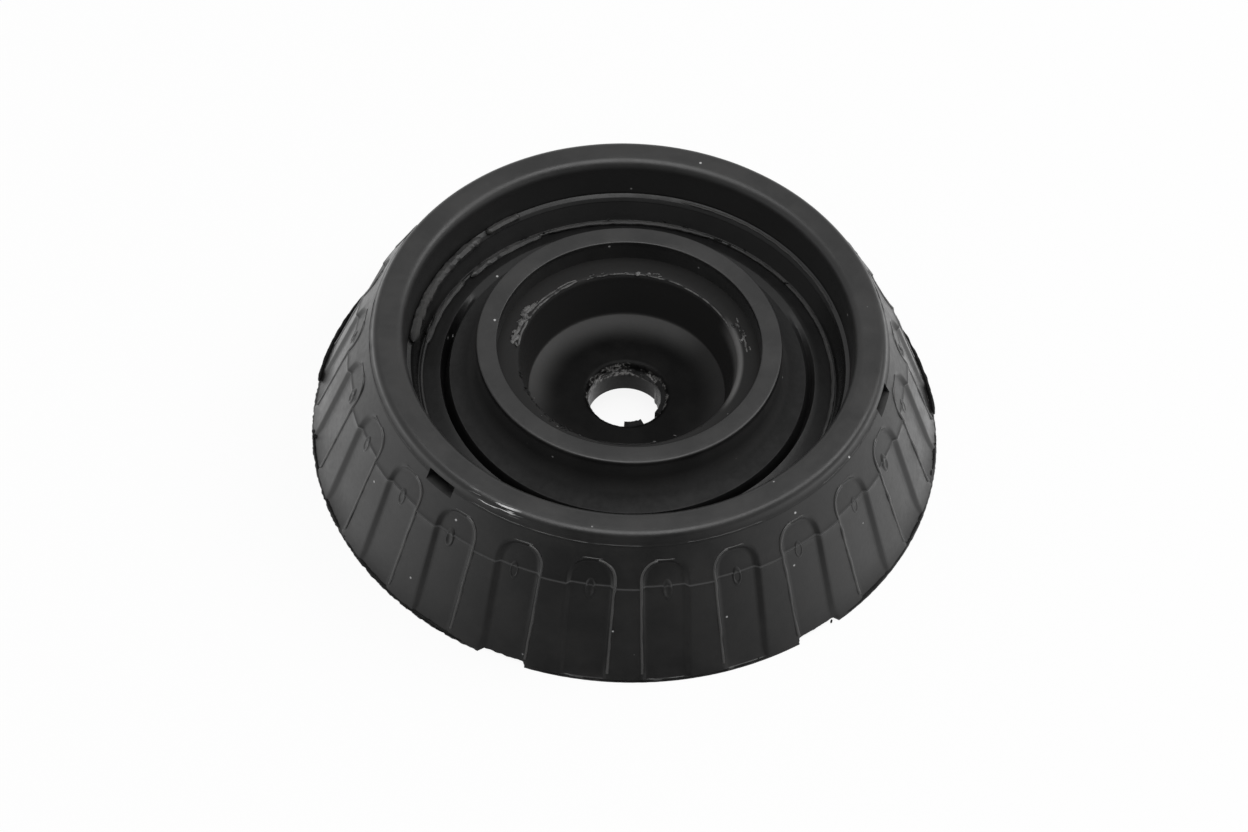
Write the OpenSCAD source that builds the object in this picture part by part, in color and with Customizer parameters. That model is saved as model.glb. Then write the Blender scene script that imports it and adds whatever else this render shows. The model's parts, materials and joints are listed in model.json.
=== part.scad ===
// Strut top mount: a fluted rubber cone moulded round a steel rod cup and a steel seat ring.
// Millimetres. The base lies on z = 0, the strut's rod runs along Z, and the front is -Y.

/* [Cone] */
// Diameter of the lip round the base
base_d = 119.8; // [114:0.2:140]
// Height from the base to the top of the rim
height = 29.2; // [27.6:0.2:37]
// Height of the lip under the ribs
lip_h = 1; // [0.6:0.1:2]
// How far the lip stands out past the ribs
lip_step = 0.8; // [0.3:0.1:1.5]
// Height of the crease where the wall starts to lean in more
crease_h = 19.1; // [13:0.1:21]
// How far the wall leans in from the lip's edge to the crease
lean_low = 7.1; // [4:0.1:9.5]
// How far the wall leans in from the crease to the rim
lean_high = 4.5; // [2:0.1:6]

/* [Flutes] */
// Number of flutes round the cone
flutes = 24; // [12:1:30]
// Width of a flute, whose flanks are parallel
flute_w = 8.9; // [5:0.1:9.5]
// Depth of a flute
flute_depth = 1.2; // [0.5:0.1:2]
// Distance from a flute's top up to the rim
flute_drop = 2.5; // [1.5:0.1:5]
// Height above the crease at which a flute's arch springs
arch_start = 0.4; // [0.2:0.1:3]
// Turn of the first rib from the front, in degrees
rib_turn = 2.3; // [0:0.1:15]

/* [Rim and bowl] */
// Width of the rim's top, its roundings included
rim_w = 6.1; // [5:0.1:9]
// Rounding of the rim's outer edge
rim_round_out = 1.4; // [0.5:0.1:2]
// Rounding of the rim's inner edge
rim_round_in = 1.8; // [0.5:0.1:2.5]
// Depth of the bowl's wall from the rim's top to the ledge
ledge_drop = 8.6; // [6:0.1:11]
// Width of the ledge
ledge_w = 0.9; // [0.4:0.1:1.5]
// Drop from the ledge to the diaphragm
step_drop = 4.9; // [3:0.1:6]
// How far the step leans in over that drop
step_lean = 1.4; // [0.5:0.1:2]
// Height of the bead where the step meets the diaphragm
bead_h = 0.5; // [0.2:0.1:1]
// How far the diaphragm rises from the bead to the groove
dia_rise = 1.6; // [0:0.1:2]
// Draft of the bowl's wall and of the recess under the base, in degrees
draft = 4; // [1:0.5:8]

/* [Ring] */
// Outer diameter of the flat ring
ring_d = 57.6; // [54:0.1:62]
// Width of the ring's top
ring_w = 3.9; // [3:0.1:4.5]
// How far the ring's top lies below the rim's top
ring_drop = 3.1; // [1:0.1:5]
// Height of the ring's upright outer wall
ring_wall = 3.6; // [2:0.1:5]
// Width of the groove where the ring's flare meets the diaphragm
groove_w = 1.8; // [0.8:0.1:2.5]
// Depth of that groove
groove_depth = 2.2; // [1:0.1:3.5]

/* [Rod cup] */
// Inside diameter of the cup at its flange
cup_d = 40.9; // [37:0.1:43]
// How far the cup's wall leans in from the flange to the floor
cup_taper = 1.8; // [0.5:0.1:2.5]
// Thickness of the cup's steel
cup_t = 2.5; // [1.5:0.1:3]
// Depth from the ring's top to the cup's flange
flange_drop = 4.5; // [3:0.1:6]
// How far the flange reaches under the ring
flange_grip = 2.2; // [1:0.1:2.8]
// Depth of the cup from its flange to its floor
cup_depth = 10.7; // [9:0.1:12]
// Width of the floor's dished edge, next to the wall
dish_w = 5.7; // [3:0.1:7]
// How far that edge rises
dish_h = 1.4; // [0.6:0.1:2]
// Diameter of the bore for the strut's rod
bore_d = 14.4; // [10:0.1:16.5]
// Length of the bore
bore_len = 5.6; // [4:0.1:8]
// Rounding of the bore's mouth
mouth_round = 1.5; // [0.5:0.1:2]
// Wall of the collar round the bore
collar_t = 2.8; // [1.5:0.1:4]
// Rubber skin under the cup's floor
skin_t = 1.4; // [0.8:0.1:2.5]

/* [Seat ring] */
// Thickness of the seat ring's steel
seat_t = 2.2; // [1.5:0.1:3]
// Rubber between the seat ring and the ribs
cover = 3.4; // [2.8:0.1:4]
// Width of the seat under the base
seat_w = 9.5; // [7:0.1:11]
// How far the seat ring's top lies below the rim's top
seat_top_drop = 3.2; // [2.6:0.1:6]
// Number of pockets left by the mould's locating pins
pockets = 3; // [2:1:6]
// Width of a pocket
pocket_w = 6.4; // [3:0.1:8]
// Height of a pocket
pocket_h = 2.2; // [1:0.1:3]
// Rubber left between a pocket and the rim's edge
pocket_drop = 0.4; // [0.2:0.1:1]
// Rib under the first pocket, counted from the front
pocket_rib = -3; // [-6:1:6]

/* [Hidden] */
$fn = 96;

// Overshoot of cutting solids
past = 1;
// Segments of a rounding and of half an arch
round_n = 6;
arch_n = 7;
// Fullness of the flutes' arch: 2 is an ellipse, and more is squarer
arch_power = 2.4;

// Cone, from the foot of the ribs to the rim's corner
base_r = base_d/2;
foot_r = base_r - lip_step;
crease_r = base_r - lean_low;
corner_r = crease_r - lean_high;
corner_h = height - rim_round_out;

// Flutes
pitch = 360/flutes;
flute_h = corner_h - flute_drop;
spring_h = crease_h + arch_start;
arch_h = flute_h - spring_h;

// Bowl, from the rim inwards
bowl_r = corner_r - rim_w;
ledge_h = height - ledge_drop;
ledge_r = bowl_r - (ledge_drop - rim_round_in)*tan(draft);
step_r = ledge_r - ledge_w;
dia_h = ledge_h - step_drop;
groove_h = dia_h + dia_rise;
dia_r = step_r - step_lean;
bead_r = dia_r - 2*bead_h;

// Ring, and the flare that carries it down to the diaphragm's groove
ring_r = ring_d/2;
ring_in_r = ring_r - ring_w;
ring_h = height - ring_drop;
ring_round = ring_w/6;
flare_h = ring_h - ring_wall;
flare_r = ring_r + ring_round/2;
groove_r = (flare_r + bead_r)/2 + groove_w;
flare_foot_r = groove_r - groove_w;

// Rod cup
cup_r = cup_d/2;
cup_low_r = cup_r - cup_taper;
flange_h = ring_h - flange_drop;
flange_r = ring_in_r + flange_grip;
floor_h = flange_h - cup_depth;
bore_r = bore_d/2;
bore_low = floor_h - mouth_round - bore_len;
collar_r = bore_r + collar_t;
bend_r = cup_t/5;
dish_r = cup_low_r - dish_w;
dish_round = (pow(dish_w, 2) + pow(dish_h, 2))/2/dish_h;
dish_turn = asin(dish_w/dish_round);
edge_h = floor_h + dish_h;
skin_h = floor_h - cup_t - skin_t;

// Seat ring
seat_r = foot_r - cover;
seat_in_r = seat_r - seat_w;
seat_h = height - seat_top_drop;
pocket_low = corner_h - pocket_drop - pocket_h;

// Points of an arc round c, from angle a0 to a1
function arc(c, r, a0, a1) =
    [for (i = [0:round_n]) let (a = a0 + (a1 - a0)*i/round_n) c + r*[cos(a), sin(a)]];

// Outer radius of the ribs at height z, along the wall's two slopes
function wall_r(z) = z < crease_h
    ? foot_r + (crease_r - foot_r)*(z - lip_h)/(crease_h - lip_h)
    : crease_r + (corner_r - crease_r)*(z - crease_h)/(corner_h - crease_h);

// Hollow curve of the flare, from level at the groove to upright at the ring
function flare_curve() = [for (i = [0:round_n])
    let (a = 90*i/round_n)
    [flare_foot_r - (flare_foot_r - flare_r)*sin(a), flare_h - (flare_h - groove_h)*cos(a)]];

// Section of the mould's cavity: the rubber with both steel pieces inside it.
// Where it passes a steel piece, its edge runs inside that piece's own section.
function rubber_section() = concat(
    [[seat_r - seat_t, seat_t/2], [seat_r, 0], [base_r, 0], [base_r, lip_h], [foot_r, lip_h],
     [crease_r, crease_h]],
    arc([corner_r - rim_round_out, corner_h], rim_round_out, 0, 90),
    arc([bowl_r + rim_round_in, height - rim_round_in], rim_round_in, 90, 180),
    [[ledge_r, ledge_h], [step_r, ledge_h], [dia_r, dia_h]],
    arc([dia_r - bead_h, dia_h], bead_h, 0, 180),
    [[groove_r, groove_h], [groove_r - groove_w/2, groove_h - groove_depth]],
    flare_curve(),
    arc([ring_r - ring_round, ring_h - ring_round], ring_round, 0, 90),
    arc([ring_in_r + ring_round, ring_h - ring_round], ring_round, 90, 180),
    [[ring_in_r, flange_h - cup_t/2], [cup_r + cup_t/2, flange_h - cup_t/2],
     [cup_low_r + cup_t/2, edge_h], [dish_r, floor_h - cup_t/2], [dish_r, skin_h],
     [seat_in_r - skin_h*tan(draft), skin_h], [seat_in_r, seat_t],
     [seat_in_r + seat_t, seat_t/2]]
);

// Section of the pressed cup: collar, floor, wall and flange in one sheet
function cup_section() = concat(
    [[bore_r, bore_low], [collar_r, bore_low], [collar_r, floor_h - cup_t]],
    [for (i = [0:round_n])
        let (a = 90*i/round_n)
        [dish_r + (cup_low_r + cup_t - dish_r)*sin(a),
         floor_h - cup_t + (edge_h - floor_h + cup_t)*(1 - cos(a))]],
    arc([cup_r + cup_t + bend_r, flange_h - cup_t - bend_r], bend_r, 180, 90),
    [[flange_r, flange_h - cup_t], [flange_r, flange_h]],
    arc([cup_r + 2*bend_r, flange_h - 2*bend_r], 2*bend_r, 90, 180),
    arc([dish_r, floor_h + dish_round], dish_round, dish_turn - 90, -90),
    arc([bore_r + mouth_round, floor_h - mouth_round], mouth_round, 90, 180)
);

// Section of the seat ring: a flat seat under the base and a skirt that follows the cone's wall
function seat_section() = [
    [seat_in_r, 0], [seat_r, 0],
    [crease_r - cover, crease_h], [wall_r(seat_h) - cover, seat_h],
    [wall_r(seat_h) - cover - seat_t, seat_h], [crease_r - cover - seat_t, crease_h],
    [wall_r(seat_t) - cover - seat_t, seat_t], [seat_in_r, seat_t]
];

// Half of a flute's outline seen from outside: a straight flank up from the lip, and half an arch
function flute_side() = concat(
    [[flute_w/2, 0]],
    [for (i = [0:arch_n])
        let (a = 90*i/arch_n)
        [flute_w/2*pow(cos(a), 2/arch_power), spring_h + arch_h*pow(sin(a), 2/arch_power)]]
);
function mirrored(side) = [for (i = [len(side) - 2:-1:0]) [-side[i][0], side[i][1]]];

// Room outside the flutes' floor, which lies one depth under the ribs
module flute_room() {
    rotate_extrude() polygon([
        [foot_r - flute_depth, lip_h], [crease_r - flute_depth, crease_h],
        [corner_r - flute_depth, corner_h], [base_r + past, corner_h], [base_r + past, lip_h]
    ]);
}

// All the flutes, to be cut out of the cone
module flute_cuts() {
    start_r = wall_r(flute_h) - flute_depth - past;
    for (i = [0:flutes - 1])
        rotate([0, 0, (i + 0.5)*pitch]) intersection() {
            flute_room();
            translate([0, -start_r, 0]) rotate([90, 0, 0])
                linear_extrude(base_r - start_r + 2*past)
                    polygon(concat(flute_side(), mirrored(flute_side())));
        }
}

// Pockets under the rim, each down to the middle of the seat ring's steel
module pocket_cuts() {
    pocket_r = wall_r(seat_h) - cover - seat_t/2;
    for (i = [0:pockets - 1])
        rotate([0, 0, pocket_rib*pitch + i*360/pockets])
            translate([-pocket_w/2, -base_r, pocket_low])
                cube([pocket_w, base_r - pocket_r, pocket_h]);
}

// Moulded rubber, bonded to both steel pieces
module rubber_body() {
    color("#26272a") rotate([0, 0, rib_turn]) difference() {
        rotate_extrude() polygon(rubber_section());
        flute_cuts();
        pocket_cuts();
        rod_cup();
        seat_ring();
    }
}

// Pressed steel cup that takes the strut rod's nut
module rod_cup() {
    color("#5a5e63") rotate_extrude() polygon(cup_section());
}

// Pressed steel ring that stiffens the cone and gives the spring's bearing a seat
module seat_ring() {
    color("#9aa0a6") rotate_extrude() polygon(seat_section());
}

rubber_body();
rod_cup();
seat_ring();
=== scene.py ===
"""Strut top mount: fluted rubber cone, steel rod cup and seat ring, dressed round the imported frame."""

import json
import logging
import math
from dataclasses import dataclass
from enum import Enum
from functools import reduce
from typing import Any, Mapping, Optional, Sequence

import bmesh
import bpy
import numpy as np
from mathutils import Matrix, Vector, noise

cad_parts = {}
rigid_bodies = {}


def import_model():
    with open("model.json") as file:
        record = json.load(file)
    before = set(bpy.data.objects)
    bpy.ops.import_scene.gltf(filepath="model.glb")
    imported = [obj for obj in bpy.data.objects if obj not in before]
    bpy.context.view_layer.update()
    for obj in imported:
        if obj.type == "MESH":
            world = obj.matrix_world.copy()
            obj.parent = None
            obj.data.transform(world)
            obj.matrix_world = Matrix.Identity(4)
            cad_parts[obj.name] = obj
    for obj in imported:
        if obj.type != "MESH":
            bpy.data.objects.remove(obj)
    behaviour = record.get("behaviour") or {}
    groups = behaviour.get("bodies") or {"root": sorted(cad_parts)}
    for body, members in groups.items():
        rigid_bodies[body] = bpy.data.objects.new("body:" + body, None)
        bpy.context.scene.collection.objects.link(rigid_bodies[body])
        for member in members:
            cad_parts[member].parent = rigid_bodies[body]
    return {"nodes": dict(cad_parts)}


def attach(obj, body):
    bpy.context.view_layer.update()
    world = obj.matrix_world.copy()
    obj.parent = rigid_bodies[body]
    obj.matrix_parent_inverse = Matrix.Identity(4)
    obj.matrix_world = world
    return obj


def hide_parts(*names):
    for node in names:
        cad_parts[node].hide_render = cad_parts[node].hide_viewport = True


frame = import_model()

LOG = logging.getLogger("strut_mount")
MM = 0.001
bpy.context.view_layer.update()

Material, Mesh, Object = bpy.types.Material, bpy.types.Mesh, bpy.types.Object
Node, Socket = bpy.types.Node, bpy.types.NodeSocket
Point = tuple[float, float]
Spot = tuple[float, float, float]
Ray = tuple[Point, Point, Point, Point]

CREASE_H = 19.1  # height in mm at which the cone's slope changes
FLOOR_FOOT = (12.95, 8.4)  # where the cup's outer floor starts to rise, (r, z) in mm
FLOOR_RISE = (8.2, 3.9)  # half axes of that rise


class Slot(Enum):
    """The record's material slots for the pieces made here."""

    RUBBER = "rubber"
    COATED = "coated_steel"


class Graph:
    """Adds nodes to a node tree and links them."""

    def __init__(self, tree: bpy.types.NodeTree) -> None:
        """Starts on a tree, emptied first."""
        self.tree = tree
        tree.nodes.clear()

    def put(self, node: Node, inputs: Mapping[Any, Any]) -> None:
        """Sets a node's inputs.

        Args:
            node: The node.
            inputs: Values or sockets by the input's name or index.
        """
        for key, value in inputs.items():
            if isinstance(value, Socket):
                self.tree.links.new(value, node.inputs[key])
            else:
                node.inputs[key].default_value = value

    def add(self, kind: str, inputs: Optional[Mapping[Any, Any]] = None, **settings: Any) -> Node:
        """Adds a node.

        Args:
            kind: The node's type.
            inputs: Values or sockets for its inputs, by name or index.
            **settings: The node's own properties.

        Returns:
            The new node.
        """
        node = self.tree.nodes.new(kind)
        for key, value in settings.items():
            setattr(node, key, value)
        self.put(node, inputs or {})
        return node

    def math(self, operation: str, *values: Any) -> Socket:
        """Result of a Math node."""
        return self.add("ShaderNodeMath", dict(enumerate(values)), operation=operation).outputs[0]

    def times(self, *values: Any) -> Socket:
        """Product of two or more values."""
        return reduce(lambda a, b: self.math("MULTIPLY", a, b), values)

    def mixed(self, a: Socket, b: Socket, share: float) -> Socket:
        """Mean of two values, by the share of the first."""
        return self.math("ADD", self.times(a, share), self.times(b, 1 - share))

    def away(self, value: Socket, middle: float) -> Socket:
        """Distance of a value from a middle."""
        return self.math("ABSOLUTE", self.math("SUBTRACT", value, middle))

    def vector(self, operation: str, *values: Any) -> Socket:
        """Vector of a Vector Math node."""
        return self.add("ShaderNodeVectorMath", dict(enumerate(values)), operation=operation).outputs[0]

    def scaled(self, vector: Socket, factor: Any) -> Socket:
        """A vector times a number."""
        return self.add("ShaderNodeVectorMath", {0: vector, "Scale": factor}, operation="SCALE").outputs[0]

    def swing(self, colour: Socket, size: Any) -> Socket:
        """Shift to any side, from a noise's colour."""
        return self.scaled(self.vector("SUBTRACT", colour, (0.5, 0.5, 0.5)), size)

    def xyz(self, x: Any = 0.0, y: Any = 0.0, z: Any = 0.0) -> Socket:
        """Vector of three parts."""
        return self.add("ShaderNodeCombineXYZ", {"X": x, "Y": y, "Z": z}).outputs[0]

    def parts(self, vector: Socket) -> list[Socket]:
        """The three parts of a vector."""
        return list(self.add("ShaderNodeSeparateXYZ", {0: vector}).outputs)

    def angle(self, x: Socket, y: Socket) -> Socket:
        """Angle of a place from the front, in radians."""
        return self.math("ARCTAN2", x, self.times(y, -1.0))

    def noise(self, vector: Socket, scale: float, detail: float, rough: float = 0.5) -> Socket:
        """Value of a noise texture, whose scale is in cells per metre."""
        inputs = {"Vector": vector, "Scale": scale, "Detail": detail, "Roughness": rough}
        return self.add("ShaderNodeTexNoise", inputs).outputs[0]

    def drift(self, vector: Socket, seed: Any, scale: Any, detail: float) -> Mapping[Any, Socket]:
        """Outputs of a noise texture with a seed."""
        inputs = {"Vector": vector, "W": seed, "Scale": scale, "Detail": detail}
        return self.add("ShaderNodeTexNoise", inputs, noise_dimensions="4D").outputs

    def step(self, value: Socket, low: float, high: float, start: float = 0.0, end: float = 1.0) -> Socket:
        """Maps a value smoothly from the range low..high to start..end."""
        inputs = {"Value": value, "From Min": low, "From Max": high, "To Min": start, "To Max": end}
        return self.add("ShaderNodeMapRange", inputs, interpolation_type="SMOOTHSTEP").outputs[0]

    def mm(self, value: Socket, low: float, high: float, *ends: float) -> Socket:
        """Like step, with the range in mm."""
        return self.step(value, low * MM, high * MM, *ends)

    def degrees(self, value: Socket, low: float, high: float, *ends: float) -> Socket:
        """Like step, with the range in degrees."""
        return self.step(value, math.radians(low), math.radians(high), *ends)

    def blend(self, factor: Any, a: Any, b: Any) -> Socket:
        """Mixes two colours, by the share of the second."""
        return self.add("ShaderNodeMix", {0: factor, 6: a, 7: b}, data_type="RGBA").outputs[2]


class Paint(Graph):
    """Graph of one material, on Object coordinates."""

    def __init__(self, name: str) -> None:
        """Starts a material with a Principled shader.

        Args:
            name: The material's name.
        """
        self.material = bpy.data.materials.new(name)
        self.material.use_nodes = True
        super().__init__(self.material.node_tree)
        self.shader = self.add("ShaderNodeBsdfPrincipled")
        self.add("ShaderNodeOutputMaterial", {"Surface": self.shader.outputs[0]})
        self.place = self.add("ShaderNodeTexCoord").outputs["Object"]
        self.x, self.y, self.z = self.parts(self.place)
        square = self.math("ADD", self.times(self.x, self.x), self.times(self.y, self.y))
        self.radius = self.math("SQRT", square)
        self.turn = self.angle(self.x, self.y)

    def finish(self, height: Socket, depth: float, strength: float, **inputs: Any) -> Material:
        """Ends the material with a bump.

        Args:
            height: The bump's height.
            depth: Its depth in metres.
            strength: Share of it that shows.
            **inputs: Values or sockets by the shader's input, with _ for a space.

        Returns:
            The material.
        """
        bump = self.add("ShaderNodeBump", {"Height": height, "Distance": depth, "Strength": strength})
        named = {key.replace("_", " "): value for key, value in inputs.items()}
        self.put(self.shader, {**named, "Normal": bump.outputs[0]})
        return self.material


def grey(level: float, warm: float = 0.0) -> tuple[float, float, float, float]:
    """Colour of a linear grey; warm is the share by which red rises and blue falls."""
    return (level * (1 + warm), level, level * (1 - warm), 1.0)


@dataclass(frozen=True)
class Finish:
    """A surface finish, made into one material."""

    name: str

    def build(self) -> Material:
        """Makes the material; each finish has its own."""
        raise NotImplementedError


@dataclass(frozen=True)
class RubberFinish(Finish):
    """Moulded black rubber with a mottled bloom, dust and scuffs, and painted light and shade by place where
    that is turned on. Places in mm and degrees from the front.
    """

    dark: float = 0.010
    light: float = 0.016
    rough_low: float = 0.32
    rough_high: float = 0.44
    specular: float = 0.5
    # Turns on the painted light and shade by place.
    painted_light_zones: bool = True
    scuff_azimuth: float = -28.5
    scuff_span: float = 7.5
    groove_r: float = 34.5
    ledge_r: float = 41.1
    ledge_h: float = 20.8
    back_from: float = 95.0
    back_to: float = 125.0

    def scuffs(self, g: Paint) -> Socket:
        """Streaks where the rim's outer edge was scraped.

        Args:
            g: The material's graph.

        Returns:
            The streaks' share.
        """
        turned = g.away(g.turn, math.radians(self.scuff_azimuth))
        near = g.degrees(turned, self.scuff_span, self.scuff_span * 0.35)
        edge = g.times(g.mm(g.radius, 46.3, 47.0), g.mm(g.z, 27.7, 28.1))
        across = g.math("MULTIPLY_ADD", g.radius, 2.6, g.times(g.turn, 0.012))
        along = g.xyz(g.times(g.turn, 0.005), across, g.times(g.z, 2.6))
        return g.times(g.step(g.noise(along, 900, 2), 0.55, 0.62), near, edge)

    def front(self, g: Paint) -> Socket:
        """Share that is 1 on the front and the sides and fades out towards the back."""
        return g.degrees(g.math("ABSOLUTE", g.turn), self.back_to, self.back_from)

    def painted_light_and_shade(self, g: Paint, colour: Socket) -> Socket:
        """Painted light and shade by place: the bowl walls painted lighter, painted shade on their lower part
        at the front and on the web, groove and ledge, and a painted highlight along the crease.

        Args:
            g: The material's graph.
            colour: The rubber's colour.

        Returns:
            The colour with its painted light and shade.
        """
        front = self.front(g)
        # Painted light: the bowl walls are painted lighter than the rubber.
        wall = g.times(g.mm(g.radius, 39.2, 39.7), g.mm(g.radius, 42.9, 42.3))
        # Painted shade: the lower bowl walls at the front and the sides are painted near black.
        low_wall = g.times(wall, front, g.mm(g.z, 21.5, 20.9))
        # Painted shade on the web between the ring and the bead.
        web = g.times(g.mm(g.radius, 29.6, 30.8), g.mm(g.radius, 39.0, 38.6), g.mm(g.z, 20.0, 18.6))
        # Painted shade in the groove at the front and the sides, narrower towards the right.
        narrower = g.degrees(g.turn, 35, 65, 0.0, 0.4 * MM)
        gap = g.math("ADD", g.away(g.radius, self.groove_r * MM), narrower)
        groove = g.times(g.mm(gap, 0.9, 0.7), front, g.mm(g.z, 17.2, 16.6))
        # Painted shade on the ledge.
        ledge = g.times(g.mm(g.away(g.z, self.ledge_h * MM), 0.9, 0.6),
                        g.mm(g.away(g.radius, self.ledge_r * MM), 0.9, 0.6))
        # Painted highlight along the crease.
        crease = g.times(g.mm(g.away(g.z, CREASE_H * MM), 0.22, 0.12), g.mm(g.radius, 48.0, 49.0))
        # Lays the painted light and shade on the colour.
        for share, level in ((g.times(wall, 0.8), 0.028), (low_wall, 0.003), (web, 0.004),
                             (groove, 0.001), (ledge, 0.005), (crease, 0.04)):
            colour = g.blend(share, colour, grey(level))
        return colour

    def build(self) -> Material:
        """Makes the material.

        Returns:
            The material.
        """
        g = Paint(self.name)
        mottle, fine = g.noise(g.place, 110, 5, 0.6), g.noise(g.place, 900, 4, 0.6)
        grain = g.noise(g.place, 4200, 2)
        specks = g.add("ShaderNodeTexVoronoi", {"Vector": g.place, "Scale": 240.0}).outputs
        pick = g.add("ShaderNodeSeparateColor", {0: specks["Color"]}).outputs[0]
        dust = g.times(g.step(specks["Distance"], 0.075, 0.03), g.step(pick, 0.64, 0.66))
        smear = g.times(g.step(fine, 0.58, 0.74), g.step(mottle, 0.50, 0.66), 0.4)
        colour = g.blend(g.step(mottle, 0.35, 0.68), grey(self.dark), grey(self.light, 0.02))
        colour = g.blend(smear, colour, grey(0.03))
        if self.painted_light_zones:
            colour = self.painted_light_and_shade(g, colour)
        colour = g.blend(dust, colour, grey(0.45))
        colour = g.blend(self.scuffs(g), colour, grey(0.6))
        rough = g.step(g.mixed(mottle, fine, 0.6), 0.35, 0.65, self.rough_low, self.rough_high)
        bowl = g.times(g.mm(g.radius, 42.0, 41.0), g.mm(g.z, 25.6, 24.6))
        wall = g.mm(g.radius, 38.9, 39.3, 0.0, -0.3 if self.painted_light_zones else 0.4)
        matt = g.math("ADD", g.mm(g.radius, 34.0, 33.4, 0.14, 0.46), g.times(self.front(g), wall))
        rough = g.math("MULTIPLY_ADD", bowl, matt, rough)
        return g.finish(g.mixed(fine, grain, 0.7), 0.00006, 0.5, Base_Color=colour, Roughness=rough,
                        Specular_IOR_Level=self.specular)


@dataclass(frozen=True)
class TornFinish(Finish):
    """Torn rubber film, more ragged than the moulded skin."""

    pale: float = 0.11
    specular: float = 0.3

    def build(self) -> Material:
        """Makes the material.

        Returns:
            The material.
        """
        g = Paint(self.name)
        patch, fine = g.noise(g.place, 420, 4, 0.65), g.noise(g.place, 3800, 3, 0.6)
        colour = g.blend(g.step(patch, 0.38, 0.56), grey(0.006), grey(self.pale, 0.01))
        return g.finish(fine, 0.0001, 0.6, Base_Color=colour, Roughness=g.step(fine, 0.3, 0.7, 0.26, 0.46),
                        Specular_IOR_Level=self.specular)


@dataclass(frozen=True)
class CoatedSteelFinish(Finish):
    """Black coated steel, satin, with a bare bore, painted light on the floor and a painted highlight on the
    right. Radii and heights in mm.
    """

    bare_r: float = 8.4
    bare_top: float = 10.6
    torn_low: float = 7.6
    specular: float = 0.06

    def build(self) -> Material:
        """Makes the material.

        Returns:
            The material.
        """
        g = Paint(self.name)
        mottle, fine = g.noise(g.place, 160, 5, 0.6), g.noise(g.place, 1500, 4, 0.6)
        ragged = g.math("MULTIPLY_ADD", g.noise(g.place, 420, 4, 0.65), 1.4 * MM, -0.7 * MM)
        top = g.math("ADD", g.z, ragged)
        band = g.mm(top, self.torn_low, self.torn_low + 0.5)
        drawn = g.vector("MULTIPLY", g.place, (0.4, 0.4, 1.5))
        fleck = g.step(g.noise(drawn, 620, 4, 0.6), 0.50, 0.57)
        bare = g.times(g.mm(g.radius, self.bare_r, self.bare_r - 0.3),
                       g.mm(top, self.bare_top, self.bare_top - 0.3),
                       g.math("SUBTRACT", 1.0, g.times(fleck, band)))
        # Painted light on the cup's floor, rising from the bore outwards and strongest towards the back left.
        back_left = g.math("DIVIDE", g.math("MULTIPLY_ADD", g.x, -0.5, g.times(g.y, 0.866)), g.radius)
        painted_floor_light = g.times(g.math("POWER", g.mm(g.radius, 12.0, 19.2), 1.6),
                        g.step(back_left, 0.05, 0.55, 0.35, 1.0), g.mm(g.z, 13.4, 12.2))
        # Painted highlight on the right of the cup's upper inner wall.
        painted_right_highlight = g.times(g.step(g.math("DIVIDE", g.x, g.radius), 0.82, 0.97),
                       g.mm(g.z, 17.5, 20.5), g.mm(g.radius, 21.9, 21.2))
        coat = g.blend(g.step(mottle, 0.35, 0.7), grey(0.003), grey(0.006, 0.02))
        # Painted light on the floor; the wall and flange, above the floor, lighter than it; and the painted
        # highlight on the right.
        for share, level in ((painted_floor_light, 0.06), (g.mm(g.z, 12.2, 13.2), 0.022), (painted_right_highlight, 0.11)):
            coat = g.blend(share, coat, grey(level, 0.01))
        film = g.blend(g.step(fine, 0.42, 0.62), grey(0.02, 0.02), grey(0.2, 0.02))
        steel = g.blend(band, grey(0.014, 0.02), film)
        return g.finish(g.mixed(fine, mottle, 0.6), 0.00008, 0.5, Base_Color=g.blend(bare, coat, steel),
                        Roughness=g.step(fine, 0.3, 0.7, 0.3, 0.42), Metallic=g.times(bare, 0.5),
                        Specular_IOR_Level=self.specular)


@dataclass(frozen=True)
class PlatedSteelFinish(Finish):
    """Phosphated grey steel, finely mottled."""

    metallic: float = 0.85

    def build(self) -> Material:
        """Makes the material.

        Returns:
            The material.
        """
        g = Paint(self.name)
        mottle, fine = g.noise(g.place, 240, 5, 0.65), g.noise(g.place, 2200, 3, 0.6)
        colour = g.blend(g.step(mottle, 0.3, 0.7), grey(0.17, 0.02), grey(0.28, 0.03))
        return g.finish(fine, 0.00006, 0.4, Base_Color=colour, Roughness=g.step(fine, 0.3, 0.7, 0.42, 0.62),
                        Metallic=self.metallic)


@dataclass(frozen=True)
class Flag:
    """Dark flag beside the camera, that reflections see in front. Edges in degrees from the front."""

    level: float = 0.12
    inner: float = 12.0
    outer: float = 70.0
    side: float = 1.2

    def share(self, g: Graph, way: Socket) -> Socket:
        """Brightness of a place or a direction as reflections see it."""
        turn = g.math("ABSOLUTE", g.angle(*g.parts(way)[:2]))
        return g.degrees(turn, self.inner, self.outer, self.level, self.side)


FLAG = Flag()


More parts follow.
